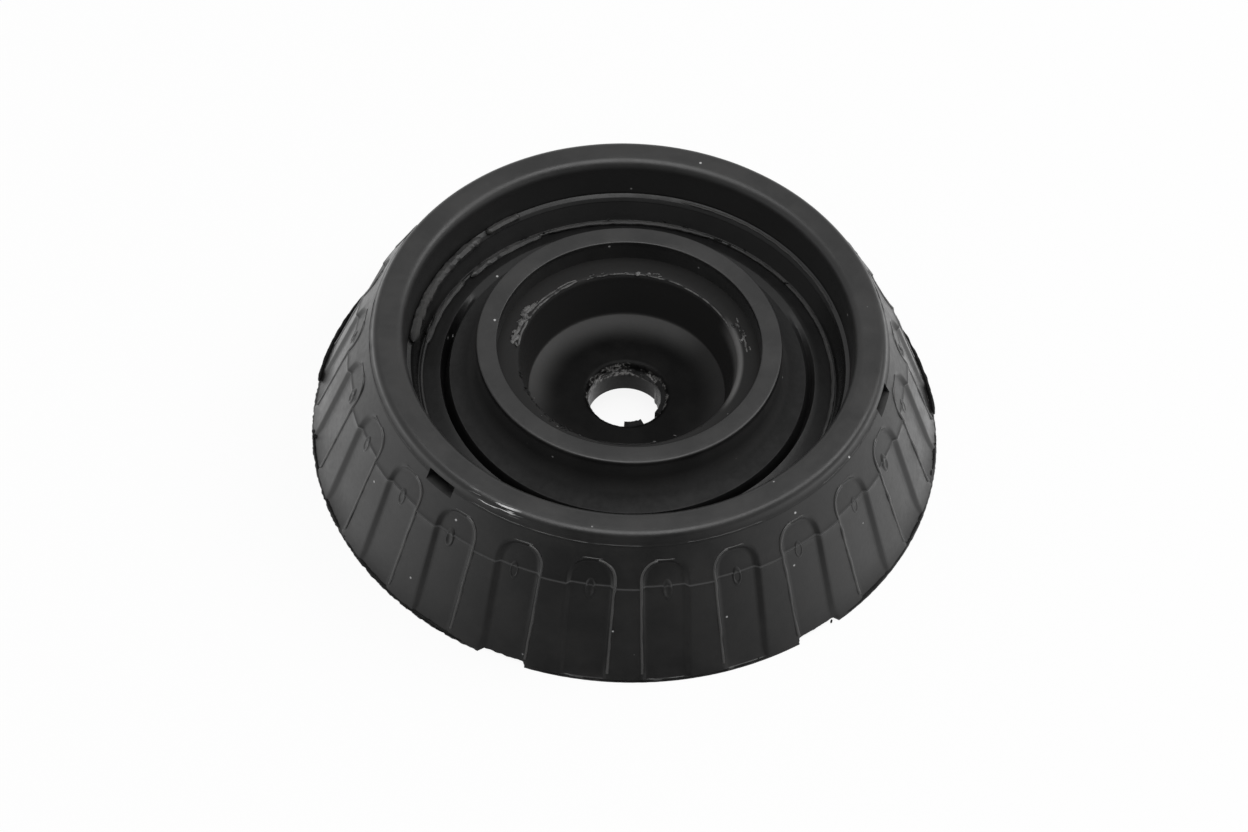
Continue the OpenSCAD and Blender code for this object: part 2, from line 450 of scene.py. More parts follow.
@dataclass(frozen=True)
class FloorFinish(Finish):
    """Plain pale floor that keeps a soft shadow and meets the white background."""

    albedo: float = 0.9
    glow: float = 0.9

    def build(self) -> Material:
        """Makes the material.

        Returns:
            The material.
        """
        material = bpy.data.materials.new(self.name)
        material.use_nodes = True
        g = Graph(material.node_tree)
        path = g.add("ShaderNodeLightPath").outputs
        camera = path["Is Camera Ray"]
        mirrored = g.math("MAXIMUM", path["Is Glossy Ray"], path["Is Transmission Ray"])
        seen = g.times(g.math("MAXIMUM", camera, mirrored), self.glow)
        side = FLAG.share(g, g.add("ShaderNodeTexCoord").outputs["Object"])
        level = g.math("MAXIMUM", camera, g.times(side, g.math("SUBTRACT", 1.0, camera)))
        matt = g.add("ShaderNodeBsdfDiffuse", {"Color": grey(self.albedo)}).outputs[0]
        white = g.add("ShaderNodeEmission", {"Color": grey(1.0), "Strength": level}).outputs[0]
        mix = g.add("ShaderNodeMixShader", {0: seen, 1: matt, 2: white})
        g.add("ShaderNodeOutputMaterial", {"Surface": mix.outputs[0]})
        return material


def filleted(corners: Sequence[Spot], steps: int = 4) -> list[Point]:
    """Rounds the corners of an open outline.

    Args:
        corners: Points (r, z, radius of the rounding) in mm.
        steps: Segments of each rounding.

    Returns:
        The points of the rounded outline.
    """
    points: list[Point] = []
    last = len(corners) - 1
    for i, (r, z, radius) in enumerate(corners):
        here = Vector((r, z))
        if radius <= 0 or i in (0, last):
            points.append((r, z))
            continue
        back = Vector(corners[i - 1][:2]) - here
        ahead = Vector(corners[i + 1][:2]) - here
        half = back.angle(ahead) / 2
        cut = min(radius / math.tan(half), 0.49 * back.length, 0.49 * ahead.length)
        a, b = here + back.normalized() * cut, here + ahead.normalized() * cut
        for k in range(steps + 1):
            t = k / steps
            p = a * (1 - t) ** 2 + here * 2 * t * (1 - t) + b * t ** 2
            points.append((p.x, p.y))
    return points


def between(a: Point, b: Point, t: float) -> Point:
    """The point at a share of the way from one point to another."""
    return (a[0] + (b[0] - a[0]) * t, a[1] + (b[1] - a[1]) * t)


def spaced(points: Sequence[Point], longest: float) -> list[Point]:
    """Splits the segments of an outline that are longer than the given length.

    Args:
        points: The outline in mm.
        longest: Greatest length of a segment.

    Returns:
        The outline with more points.
    """
    out = [points[0]]
    for a, b in zip(points, points[1:]):
        parts = max(1, math.ceil(math.hypot(b[0] - a[0], b[1] - a[1]) / longest))
        out += [between(a, b, k / parts) for k in range(1, parts + 1)]
    return out


def arc(centre: Point, radius: float, start: float, end: float, steps: int) -> list[Point]:
    """Points (r, z) of an arc in the section plane, between two angles in degrees."""
    angles = [math.radians(start + (end - start) * k / steps) for k in range(steps + 1)]
    return [(centre[0] + radius * math.cos(a), centre[1] + radius * math.sin(a)) for a in angles]


def floor_curve(turns: Sequence[float]) -> list[Point]:
    """Points (r, z) of the cup's rising outer floor, by their parameter in degrees."""
    (r, z), (wide, high) = FLOOR_FOOT, FLOOR_RISE
    return [(r + wide * math.sin(a), z + high * (1 - math.cos(a))) for a in map(math.radians, turns)]


def polar(radius: float, azimuth: float, z: float) -> Spot:
    """A point in metres, from its radius and height in mm and its azimuth in degrees from -Y towards +X."""
    a = math.radians(azimuth)
    return (radius * math.sin(a) * MM, -radius * math.cos(a) * MM, z * MM)


def clamp(value: float) -> float:
    """The value, kept between 0 and 1."""
    return min(1.0, max(0.0, value))


def new_mesh(name: str, points: Sequence[Spot], faces: Sequence[Sequence[int]]) -> Mesh:
    """Makes a mesh.

    Args:
        name: Its name.
        points: Its points in metres.
        faces: Numbers of each face's points; two numbers make an edge.

    Returns:
        The mesh.
    """
    mesh = bpy.data.meshes.new(name)
    edges = [face for face in faces if len(face) == 2]
    mesh.from_pydata(points, edges, [face for face in faces if len(face) > 2])
    mesh.update()
    return mesh


class Shell:
    """Collects points and faces of one mesh."""

    def __init__(self) -> None:
        """Starts empty."""
        self.points: list[Spot] = []
        self.faces: list[tuple[int, ...]] = []

    def row(self, points: Sequence[Spot]) -> list[int]:
        """Adds points (radius, azimuth, height) in mm and degrees, and returns their numbers."""
        self.points += [polar(*p) for p in points]
        return list(range(len(self.points) - len(points), len(self.points)))

    def strip(self, low: Sequence[int], high: Sequence[int], flip: bool = False) -> None:
        """Joins two rows of the same length with quads, turned round if flip is set."""
        for a, b, c, d in zip(low, low[1:], high[1:], high):
            self.faces.append((d, c, b, a) if flip else (a, b, c, d))

    def stitch(self, low: Sequence[int], high: Sequence[int],
               low_at: Sequence[float], high_at: Sequence[float]) -> None:
        """Joins two rows of different length with triangles.

        Args:
            low: The first row.
            high: The next row along the outline.
            low_at: Azimuths of the first row, rising.
            high_at: Azimuths of the next row, rising.
        """
        i = j = 0
        while i < len(low) - 1 or j < len(high) - 1:
            if j == len(high) - 1 or (i < len(low) - 1 and low_at[i + 1] <= high_at[j + 1]):
                self.faces.append((low[i], low[i + 1], high[j]))
                i += 1
            else:
                self.faces.append((low[i], high[j + 1], high[j]))
                j += 1

    def mesh(self, name: str) -> Mesh:
        """Makes the mesh."""
        return new_mesh(name, self.points, self.faces)


def place(data: bpy.types.ID, name: str) -> Object:
    """Puts a mesh, lamp or camera into the scene at the origin.

    Args:
        data: The mesh, lamp or camera.
        name: The object's name.

    Returns:
        The object.
    """
    obj = bpy.data.objects.new(name, data)
    bpy.context.scene.collection.objects.link(obj)
    return obj


def dress(obj: Object, material: Material, angle: float) -> Object:
    """Gives a whole piece one material and smooth shading.

    Args:
        obj: The piece.
        material: Its material.
        angle: Angle in degrees past which an edge is sharp.

    Returns:
        The piece.
    """
    mesh = obj.data
    mesh.materials.clear()
    mesh.materials.append(material)
    mesh.polygons.foreach_set("material_index", [0] * len(mesh.polygons))
    mesh.shade_smooth()
    mesh.set_sharp_from_angle(angle=math.radians(angle))
    return obj


def joined(pieces: Sequence[Object], name: str, material: Material) -> Object:
    """Makes one piece of several.

    Args:
        pieces: The pieces, which are used up.
        name: The new piece's name.
        material: Its material.

    Returns:
        The new piece.
    """
    work = bmesh.new()
    for piece in pieces:
        work.from_mesh(piece.data)
        bpy.data.objects.remove(piece)
    mesh = bpy.data.meshes.new(name)
    work.to_mesh(mesh)
    work.free()
    return dress(place(mesh, name), material, 50)


def turned_out(mesh: Mesh) -> Mesh:
    """Turns the faces of closed shells outwards.

    Args:
        mesh: The mesh.

    Returns:
        The same mesh.
    """
    work = bmesh.new()
    work.from_mesh(mesh)
    bmesh.ops.recalc_face_normals(work, faces=work.faces)
    work.to_mesh(mesh)
    work.free()
    return mesh


def baked(obj: Object) -> Object:
    """Turns an object's modifiers into a plain mesh and removes them.

    Args:
        obj: The object.

    Returns:
        The same object.
    """
    graph, spare = bpy.context.evaluated_depsgraph_get(), obj.data
    seen = obj.evaluated_get(graph)
    mesh = bpy.data.meshes.new_from_object(seen, preserve_all_data_layers=True, depsgraph=graph)
    obj.modifiers.clear()
    obj.data = mesh
    if spare.users == 0:
        bpy.data.meshes.remove(spare)
    mesh.name = obj.name
    return obj


class NodeShape(Graph):
    """A Geometry Nodes tree with named inputs."""

    def __init__(self, name: str, floats: Sequence[str], ints: Sequence[str] = ()) -> None:
        """Starts the tree.

        Args:
            name: Its name.
            floats: Names of its number inputs.
            ints: Names of its whole-number inputs.
        """
        tree = bpy.data.node_groups.new(name, "GeometryNodeTree")
        super().__init__(tree)
        kinds = {**dict.fromkeys(floats, "Float"), **dict.fromkeys(ints, "Int"), "Material": "Material"}
        self.ids = {}
        for key, kind in {"Geometry": "Geometry", **kinds}.items():
            face = tree.interface.new_socket(key, in_out="INPUT", socket_type="NodeSocket" + kind)
            self.ids[key] = face.identifier
        tree.interface.new_socket("Geometry", in_out="OUTPUT", socket_type="NodeSocketGeometry")
        self.source = self.add("NodeGroupInput").outputs
        self.spot = self.add("GeometryNodeInputPosition").outputs[0]

    def around(self) -> tuple[Socket, Socket]:
        """Points for the input Count, and their angles round the axis from the input First angle.

        Returns:
            The points' socket and the angles' socket.
        """
        step = self.math("DIVIDE", 2 * math.pi, self.source["Count"])
        index = self.add("GeometryNodeInputIndex").outputs[0]
        turn = self.math("MULTIPLY_ADD", index, step, self.source["First angle"])
        return self.add("GeometryNodePoints", {"Count": self.source["Count"]}).outputs[0], turn

    def copies(self, points: Socket, piece: Socket, **inputs: Any) -> Socket:
        """Instances of a piece on points."""
        inputs = {"Points": points, "Instance": piece, **inputs}
        return self.add("GeometryNodeInstanceOnPoints", inputs).outputs[0]

    def moved(self, geometry: Socket, **inputs: Socket) -> Socket:
        """Geometry with a new Position or an Offset."""
        return self.add("GeometryNodeSetPosition", {"Geometry": geometry, **inputs}).outputs[0]

    def swept(self, curve: Socket, size: Socket) -> Socket:
        """Sweeps a curve by a small circle of the input Thickness.

        Args:
            curve: The curve's socket.
            size: The circle's scale along the curve.

        Returns:
            The swept mesh's socket.
        """
        ring = {"Resolution": 7, "Radius": self.source["Thickness"]}
        profile = self.add("GeometryNodeCurvePrimitiveCircle", ring, mode="RADIUS").outputs[0]
        inputs = {"Curve": curve, "Profile Curve": profile, "Scale": size, "Fill Caps": True}
        return self.add("GeometryNodeCurveToMesh", inputs).outputs[0]

    def real(self, geometry: Socket) -> Socket:
        """Geometry with its instances realized."""
        return self.add("GeometryNodeRealizeInstances", {0: geometry}).outputs[0]

    def finish(self, geometry: Socket) -> "NodeShape":
        """Ends the tree: realizes the instances and sets the material.

        Args:
            geometry: The geometry's socket.

        Returns:
            The tree.
        """
        inputs = {"Geometry": self.real(geometry), "Material": self.source["Material"]}
        self.add("NodeGroupOutput", {0: self.add("GeometryNodeSetMaterial", inputs).outputs[0]})
        return self

    def apply(self, obj: Object, material: Material, values: Mapping[str, float]) -> Object:
        """Runs the tree on an object and leaves a plain mesh.

        Args:
            obj: The object, whose mesh is the tree's geometry.
            material: Value of the input Material.
            values: Values of the other inputs by name.

        Returns:
            The same object.
        """
        modifier = obj.modifiers.new("shape", "NODES")
        modifier.node_group = self.tree
        for key, value in {**values, "Material": material}.items():
            modifier[self.ids[key]] = value
        return baked(obj)


@dataclass
class RubberMount:
    """The moulded rubber: fluted cone with its lip, rim, bowl, ring and underside. Sizes in mm."""

    finish: RubberFinish
    lip_r: float = 59.9
    lip_h: float = 0.55
    foot_r: float = 59.1
    foot_h: float = 1.0
    foot_flare: float = 0.36
    height: float = 29.2
    crease_r: float = 52.8
    corner_r: float = 48.3
    corner_h: float = 27.8
    rim_round: float = 1.4
    mouth_round: float = 1.8
    flutes: int = 24
    rib_turn: float = 2.3
    flute_w: float = 8.9
    flute_depth: float = 0.7
    run_out: float = 4.0
    flute_top: float = 24.2
    spring_h: float = 19.5
    arch_power: float = 2.4
    flank_near: float = 0.8
    flank_far: float = 0.9
    flank_top: float = 1.0
    cell_top: float = 26.1
    crease_ridge: float = 0.15
    rim_ridge: float = 0.09
    wave: float = 0.06
    wave_scale: float = 130.0
    weld: float = 0.012
    pockets: tuple[float, ...] = (-42.7, 77.3, 197.3)
    bare_lip: tuple[float, ...] = (-20.2, 39.8)
    columns: int = 8
    rib_rows: int = 8
    lip_columns: int = 40

    def first_flute(self) -> float:
        """Azimuth of the middle of the first flute."""
        return self.rib_turn + 180 / self.flutes

    def wall_r(self, z: float) -> float:
        """Radius of the ribs' face at a height.

        Args:
            z: The height.

        Returns:
            The radius.
        """
        ridge = self.crease_ridge * math.exp(-(((z - CREASE_H) / 0.17) ** 2))
        if z < CREASE_H:
            share = (z - self.foot_h) / (CREASE_H - self.foot_h)
            flare = self.foot_flare * max(0.0, 1 - (z - self.lip_h) / 2.4) ** 2
            return self.foot_r + (self.crease_r - self.foot_r) * share + ridge + flare
        share = (z - CREASE_H) / (self.corner_h - CREASE_H)
        return self.crease_r + (self.corner_r - self.crease_r) * share + ridge

    def floor_r(self, z: float) -> float:
        """Radius of the flutes' floor at a height; it runs out towards the lip."""
        share = clamp((z - self.lip_h) / self.run_out)
        return self.wall_r(z) - self.flute_depth * (0.4 + 0.6 * math.sin(share * math.pi / 2))

    def outline(self, turn: float) -> Point:
        """A point of a flute's arch.

        Args:
            turn: Its parameter, from 0 at the springing to 90 at the top.

        Returns:
            Its distance from the flute's middle and its height.
        """
        a, power = math.radians(turn), 2 / self.arch_power
        half, rise = self.flute_w / 2, self.flute_top - self.spring_h
        return (half * max(0.0, math.cos(a)) ** power, self.spring_h + rise * math.sin(a) ** power)

    def rays(self, side: float) -> list[Ray]:
        """Lines across half a flute, from its middle to the border of its cell.

        Args:
            side: Width of the half's flank.

        Returns:
            For each line: a point on the middle, the flank's foot and edge as (x, z), and the
            border as (azimuth, z).
        """
        half, pitch = self.flute_w / 2, 180 / self.flutes
        foot = [self.lip_h + d for d in (0.0, 0.06, 0.15, 0.3, 0.8, 1.8)]
        ridge = [CREASE_H + d for d in (-0.32, -0.18, -0.08, 0.0, 0.08, 0.18)]
        heights = [*foot, 4.4, 6.4, 8.6, 11.0, 13.4, 15.8, 17.8, *ridge]
        lines = [((0.0, z), (half - side, z), (half, z), (pitch, z)) for z in heights]
        count = self.rib_rows + self.columns
        for k in range(count + 1):
            turn = 90 * k / count
            x, z = self.outline(turn)
            nx, nz = self.outline(min(90.0, turn + 0.5))
            px, pz = self.outline(max(0.0, turn - 0.5))
            tangent = Vector((nx - px, nz - pz)).normalized()
            if k in (0, count):
                tangent = Vector((0, 1)) if k == 0 else Vector((-1, 0))
            flank = side + (self.flank_top - side) * math.sin(math.radians(turn))
            inner = (max(0.0, x - flank * tangent.y), z + flank * tangent.x)
            if k <= self.rib_rows:
                border = (pitch, self.spring_h + (self.cell_top - self.spring_h) * k / self.rib_rows)
            else:
                border = (pitch * (count - k) / self.columns, self.cell_top)
            middle = (0.0, self.spring_h + 0.55 * (inner[1] - self.spring_h))
            lines.append((middle, inner, (x, z), border))
        return lines

    def ray_points(self, ray: Ray) -> list[Spot]:
        """Points along one line across half a flute.

        Args:
            ray: The line.

        Returns:
            Points (radius, angle from the flute's middle, height).
        """
        middle, foot, edge, border = ray
        points: list[Spot] = []
        for t in (0.0, 0.5, 0.85):
            x, z = between(middle, foot, t)
            r = self.floor_r(z)
            points.append((r, math.degrees(math.asin(x / r)), z))
        for t in (0.0, 0.14, 0.32, 0.5, 0.68, 0.86, 1.0):
            x, z = between(foot, edge, t)
            rise = 0.6 * t + 0.4 * t * t * (3 - 2 * t)
            r = self.floor_r(z) + (self.wall_r(z) - self.floor_r(z)) * rise
            points.append((r, math.degrees(math.asin(min(1.0, x / r))), z))
        start = (points[-1][1], edge[1])
        for t in (0.18, 0.45, 0.72, 1.0):
            angle, z = between(start, border, t)
            points.append((self.wall_r(z), angle, z))
        return points

    def upper(self) -> list[Point]:
        """Section from the cell's top over the rim, bowl and ring to the cup's flange.

        Returns:
            The points (r, z).
        """
        ridge_h, top = self.corner_h - 0.9, self.height
        wall = [(self.wall_r(z), z) for z in (self.cell_top, 26.45, 26.7)]
        wall += [(self.wall_r(ridge_h) + d, ridge_h + h) for d, h in
                 ((0.0, -0.12), (self.rim_ridge, -0.03), (self.rim_ridge, 0.03), (0.0, 0.12))]
        wall += [(self.wall_r(27.35), 27.35)]
        rim = arc((self.corner_r - self.rim_round, self.corner_h), self.rim_round, 0, 90, 7)
        rim += [(45.9, top), (44.9, top)] + arc((44.0, top - self.mouth_round), self.mouth_round, 90, 180, 8)
        bead = [(r, z, 0.0) for r, z in arc((38.95, 15.75), 0.42, 20, 190, 8)]
        flare = [(33.77 - 4.645 * math.sin(a), 22.5 - 5.2 * math.cos(a), 0.0)
                 for a in map(math.radians, range(12, 91, 6))]
        bowl = filleted([
            (42.2, 27.3, 0), (41.76, 21.2, 0.12), (41.0, 20.8, 0.15), (40.5, 20.2, 0.2), (39.5, 15.85, 0.1),
            *bead, (35.4, 17.2, 0.08), (34.55, 13.2, 0), (33.7, 17.25, 0.1), *flare,
            (28.8, 26.1, 0.55), (24.9, 26.1, 0.3), (24.9, 21.6, 0.15),
        ])
        return wall + rim + spaced(bowl, 1.3)

    def under(self) -> list[Point]:
        """Section from the cup's flange round the cup, the recess and the seat ring to the base.

        Returns:
            The points (r, z).
        """
        cup = [(27.1, 21.6), (27.1, 19.1)] + arc((23.45, 18.6), 0.5, 90, 180, 3) + [(21.15, 12.3)]
        cup += floor_curve(range(75, -1, -15))
        recess = filleted([FLOOR_FOOT + (0,), (12.95, 7.0, 0.4), (45.7, 7.0, 1.2), (46.15, 2.2, 0)])
        seat = [(53.08, 2.2), (47.2, 19.1), (43.63, 26.0), (45.83, 26.0), (49.4, 19.1), (55.65, 0.0)]
        return cup + spaced(recess[1:], 5.0) + seat

    def lip(self) -> list[Point]:
        """Section of the lip round the base, from its underside to the ribs' foot."""
        inset = ((0.5, 0.0), (0.15, 0.06), (0.0, 0.2), (0.05, 0.4), (0.3, 0.85))
        return [(self.lip_r - d, z * self.lip_h) for d, z in inset]

    def sector(self) -> Mesh:
        """One flute with all that lies behind it, from rib to rib.

        Returns:
            The open mesh, with its flute at the front and its near flank towards +X.
        """
        shell = Shell()
        pitch, count = 180 / self.flutes, self.columns
        even = [pitch * k / count for k in range(-count, count + 1)]
        close = [pitch * (2 * k / self.lip_columns - 1) for k in range(self.lip_columns + 1)]
        halves = []
        for side, flank in ((1, self.flank_near), (-1, self.flank_far)):
            rows = [shell.row([(r, side * a, z) for r, a, z in self.ray_points(ray)])
                    for ray in self.rays(flank)]
            for low, high in zip(rows, rows[1:]):
                shell.strip(low, high, flip=side < 0)
            halves.append(rows)
        right, left = halves
        previous = [row[-1] for row in left[-count - 1:]] + [row[-1] for row in right[-count - 1:-1][::-1]]
        base = left[0][:0:-1] + right[0]
        base_at = [math.degrees(math.atan2(shell.points[i][0], -shell.points[i][1])) for i in base]
        for r, z in self.upper()[1:] + self.under():
            row = shell.row([(r, a, z) for a in even])
            shell.strip(previous, row)
            previous = row
        at = even
        for r, z in self.lip():
            row = shell.row([(r, a, z) for a in close])
            shell.stitch(previous, row, at, close)
            previous, at = row, close
        shell.stitch(previous, base, close, base_at)
        return shell.mesh("rubber_sector")

    def tree(self) -> NodeShape:
        """Repeats the sector round the axis, mirrored on the right, welds it and gives it slight waves.

        Returns:
            The tree.
        """
        g = NodeShape("fluted_ring", ("First angle", "Weld", "Wave", "Wave scale", "Seed"), ("Count",))
        source = g.source
        points, turn = g.around()
        mirror = {"Geometry": source["Geometry"], "Scale": (-1.0, 1.0, 1.0)}
        mirrored = g.add("GeometryNodeTransform", mirror).outputs[0]
        mirrored = g.add("GeometryNodeFlipFaces", {"Mesh": mirrored}).outputs[0]
        both = g.add("GeometryNodeJoinGeometry")
        for test, piece in (("GREATER_THAN", source["Geometry"]), ("LESS_THAN", mirrored)):
            half = g.copies(points, piece, Selection=g.math(test, turn, math.pi), Rotation=g.xyz(z=turn))
            g.tree.links.new(half, both.inputs[0])
        weld = {"Geometry": g.real(both.outputs[0]), "Distance": source["Weld"]}
        welded = g.add("GeometryNodeMergeByDistance", weld).outputs[0]
        drift = g.drift(g.spot, source["Seed"], source["Wave scale"], 3.0)[0]
        normal = g.add("GeometryNodeInputNormal").outputs[0]
        return g.finish(g.moved(welded, Offset=g.scaled(normal, g.times(drift, source["Wave"], -1.0))))

    def roughen(self, mesh: Mesh) -> None:
        """Wears the lip, takes it away where it is torn off and lets the groove run out at the back.

        Args:
            mesh: The whole rubber's mesh.
        """
        turns = (-180, -120, -95, -60, -28, -14, 32, 45, 75, 100, 130, 180)
        wear = (0.1, 0.15, 0.3, 0.3, 0.25, 0.03, 0.03, 0.05, 0.1, 0.2, 0.12, 0.1)
        worn_to = 4.0
        for vertex in mesh.vertices:
            x, y, z = vertex.co / MM
            radius, azimuth = math.hypot(x, y), math.degrees(math.atan2(x, -y))
            if 33.6 < radius < 35.5 and 13 < z < 17.2:
                fill = (azimuth - 40) / 80 if azimuth > 0 else (-azimuth - 96) / 24
                vertex.co.z += (17.1 - z) * MM * clamp(fill)
            if z > worn_to or radius < 57:
                continue
            run = Vector((azimuth * 0.95, z * 0.5, 4.0))
            torn = max(0.0, 0.35 + noise.noise(run) + 0.4 * noise.noise(run * 2.3))
            edge = z < 0.97 * self.lip_h
            target = radius - (float(np.interp(azimuth, turns, wear)) * torn if edge else 0.0)
            for centre in self.bare_lip:
                gap = 4.4 + 0.3 * noise.noise(run * 1.4) - abs(azimuth - centre)
                bare = 58.55 + 0.35 * (radius - self.lip_r) + 0.2 * noise.noise(run)
                if not edge:
                    bare = radius - 0.5 * (1 - (z - self.lip_h) / (worn_to - self.lip_h)) ** 2
                target += clamp(gap / 0.35) * (bare - target)
            vertex.co.x *= target / radius
            vertex.co.y *= target / radius

    def cutter(self) -> Object:
        """Prisms of the pockets under the rim, each deep on its left and shallow on its right.

        Returns:
            The object to cut with.
        """
        plan = ((-3.2, 54.0), (-3.2, 44.73), (0.4, 44.73), (0.7, 47.5), (3.2, 47.8), (3.2, 54.0))
        points, faces, count = [], [], len(plan)
        for azimuth in self.pockets:
            a, first = math.radians(azimuth), len(points)
            across, out = Vector((math.cos(a), math.sin(a), 0)), Vector((math.sin(a), -math.cos(a), 0))
            for z in (self.corner_h - 2.6, self.corner_h - 0.4):
                points += [(across * x + out * r + Vector((0, 0, z))) * MM for x, r in plan]
            low = list(range(first, first + count))
            high = [i + count for i in low]
            faces += [tuple(low), tuple(high[::-1])]
            faces += [(low[i - 1], high[i - 1], high[i], low[i]) for i in range(count)]
        return place(turned_out(new_mesh("pocket_cutter", points, faces)), "pocket_cutter")

    def build(self) -> Object:
        """Makes the rubber piece.

        Returns:
            The piece.
        """
        rubber = self.finish.build()
        obj = place(self.sector(), "moulded_rubber")
        self.tree().apply(obj, rubber, {
            "Count": self.flutes, "First angle": math.radians(self.first_flute()), "Weld": self.weld * MM,
            "Wave": self.wave * MM, "Wave scale": self.wave_scale, "Seed": 3.0,
        })
        self.roughen(obj.data)
        tool = self.cutter()
        modifier = obj.modifiers.new("pockets", "BOOLEAN")
        modifier.operation, modifier.solver, modifier.object = "DIFFERENCE", "EXACT", tool
        baked(obj)
        bpy.data.objects.remove(tool)
        return dress(obj, rubber, 38)


@dataclass
class RodCup:
    """The pressed steel cup with its dished floor and its bore. Sizes in mm."""

    finish: CoatedSteelFinish
    columns: int = 288
    bore_r: float = 7.2
    bore_low: float = 3.8
    collar_r: float = 10.0
    floor_h: float = 10.9
    mouth: float = 1.5
    dish_r: float = 12.95
    dish_round: float = 12.3
    dish_turn: float = 27.6
    torn: float = 0.16

    def section(self) -> list[Point]:
        """Closed section, from the bore's lower edge outwards, up and back down the inside.

        Returns:
            The points (r, z).
        """
        outside = filleted([(self.bore_r, self.bore_low, 0), (self.collar_r, self.bore_low, 0.5),
                            (self.collar_r, FLOOR_FOOT[1], 0.6), FLOOR_FOOT + (0,)])
        outside += floor_curve(range(9, 91, 9)) + arc((23.45, 18.6), 0.5, 180, 90, 4)
        flange = [(27.1, 19.1), (27.1, 21.6)] + arc((21.45, 20.6), 1.0, 90, 180, 6)
        centre = (self.dish_r, self.floor_h + self.dish_round)
        dish = arc(centre, self.dish_round, self.dish_turn - 90, -90, 10)
        wall = filleted([flange[-1] + (0,), dish[0] + (0.35,), dish[2] + (0,)])
        bore = arc((self.bore_r + self.mouth, self.floor_h - self.mouth), self.mouth, 90, 180, 8)
        bore += [(self.bore_r, self.bore_low)]
        return (spaced(outside, 1.6) + spaced(flange, 1.6) + spaced(wall, 1.2)[1:] + spaced(dish[3:], 1.0)
                + spaced(bore, 0.5)[:-1])

    def build(self) -> Object:
        """Makes the cup.

        Returns:
            The piece.
        """
        shell, rows = Shell(), []
        for r, z in self.section():
            rough = r < self.bore_r + 0.9 and self.finish.torn_low < z < self.floor_h - 0.05
            row = []
            for a in (360 * k / self.columns for k in range(self.columns)):
                spot = Vector(polar(r, a, z)) / MM
                tear = noise.noise(spot * 1.5) + 0.6 * noise.noise(spot * 3.7)
                row.append((r + max(-0.04, self.torn * tear) * rough, a, z))
            rows.append(shell.row(row))
        for low, high in zip(rows, rows[1:] + rows[:1]):
            shell.strip(low + low[:1], high + high[:1])
        return dress(place(shell.mesh("pressed_cup"), "pressed_cup"), self.finish.build(), 34)


@dataclass(frozen=True)
class Strip:
    """One ragged strip along an arc. Millimetres and degrees from the front."""

    start: float
    end: float
    radius: float
    height: float
    thick: float
    waver: float = 0.3

    def values(self, i: int) -> dict[str, float]:
        """Values of the tree's inputs for the i-th strip.

        Args:
            i: The strip's number.

        Returns:
            The values by name.
        """
        sweep = math.radians(self.end - self.start)
        return {"Radius": self.radius * MM, "Height": self.height * MM, "Sweep": sweep,
                "Start": math.radians(self.start - 90), "Steps": max(8, round(sweep * self.radius / 0.35)),
                "Thickness": self.thick * MM, "Waver": self.waver * MM, "Seed": 1.7 * i + 0.4}


@dataclass(frozen=True)
class Scatter:
    """Crumbs scattered along an arc. Millimetres and degrees from the front."""

    start: float
    end: float
    radius: float
    spread: float
    height: float
    count: int
    size: float

    def values(self, i: int) -> dict[str, float]:
        """Values of the tree's inputs for the i-th lot of crumbs.

        Args:
            i: The lot's number.

        Returns:
            The values by name.
        """
        return {"Count": self.count, "Radius": self.radius * MM, "Spread": self.spread * MM,
                "Height": self.height * MM, "Start": math.radians(self.start),
                "Sweep": math.radians(self.end - self.start), "Size": self.size * MM, "Seed": 11 * i + 5}


@dataclass
class Ragged:
    """Bits of rubber along arcs, made as one piece."""

    name: str
    finish: Finish
    arcs: tuple[Any, ...]

    def tree(self) -> NodeShape:
        """Tree of the bits on one arc; each kind has its own."""
        raise NotImplementedError

    def build(self) -> Object:
        """Makes all the bits.

        Returns:
            The piece.
        """
        shape, material = self.tree(), self.finish.build()
        pieces = [shape.apply(place(bpy.data.meshes.new("bit"), "bit"), material, along.values(i))
                  for i, along in enumerate(self.arcs)]
        return joined(pieces, self.name, material)


@dataclass
class FlashStrips(Ragged):
    """Ragged rubber left along the mould's parting lines."""

    def tree(self) -> NodeShape:
        """Tree of one strip: an arc that wavers, swept by a small circle whose size varies.

        Returns:
            The tree.
        """
        floats = ("Radius", "Height", "Start", "Sweep", "Thickness", "Waver", "Seed")
        g = NodeShape("flash_strip", floats, ("Steps",))
        source = g.source
        path = g.add("GeometryNodeCurveArc", {
            "Resolution": source["Steps"], "Radius": source["Radius"], "Start Angle": source["Start"],
            "Sweep Angle": source["Sweep"]}, mode="RADIUS").outputs[0]
        swing = g.swing(g.drift(g.spot, source["Seed"], 420.0, 2.0)["Color"], source["Waver"])
        path = g.moved(path, Offset=g.vector("ADD", swing, g.xyz(z=source["Height"])))
        rag = g.drift(g.spot, source["Seed"], 520.0, 3.0)[0]
        along = g.add("GeometryNodeSplineParameter").outputs["Factor"]
        ends = g.times(along, g.math("SUBTRACT", 1.0, along), 16.0)
        size = g.times(g.math("SQRT", g.math("MINIMUM", ends, 1.0)), g.step(rag, 0.3, 0.7, 0.7, 1.0))
        x, y, z = g.parts(g.spot)
        raised = g.xyz(x, y, g.math("MAXIMUM", z, 0.02 * MM))
        return g.finish(g.moved(g.swept(path, size), Position=raised))


